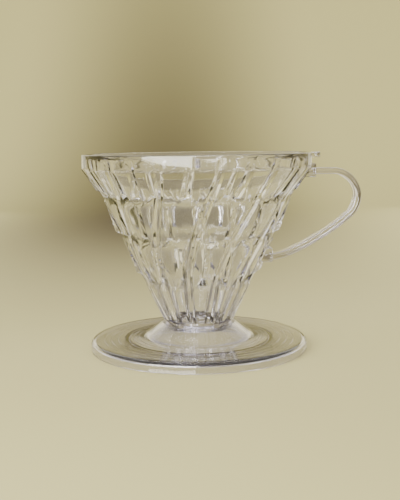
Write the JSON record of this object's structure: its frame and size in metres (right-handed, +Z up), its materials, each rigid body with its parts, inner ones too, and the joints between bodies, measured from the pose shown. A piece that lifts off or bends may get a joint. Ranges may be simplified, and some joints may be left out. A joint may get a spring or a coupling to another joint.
{
  "type": "pour over dripper",
  "caption": "Clear plastic conical pour over dripper with spiral inner ribs, a loop handle and a flared base plate that sits on a cup.",
  "frame": {"origin": "on the cone's axis, in the plane of the foot that the dripper stands on", "axes": "+Z up along the cone's axis, +X towards the handle, -Y the side that faces the viewer"},
  "size_m": [0.141, 0.116, 0.1],
  "materials": {
    "clear_cone": "clear moulded plastic, glossy",
    "clear_base": "clear moulded plastic, glossy",
    "clear_handle": "clear moulded plastic, glossy"
  },
  "bodies": {
    "root": {"cone": "clear_cone", "base_plate": "clear_base", "handle": "clear_handle"}
  },
  "joints": []
}
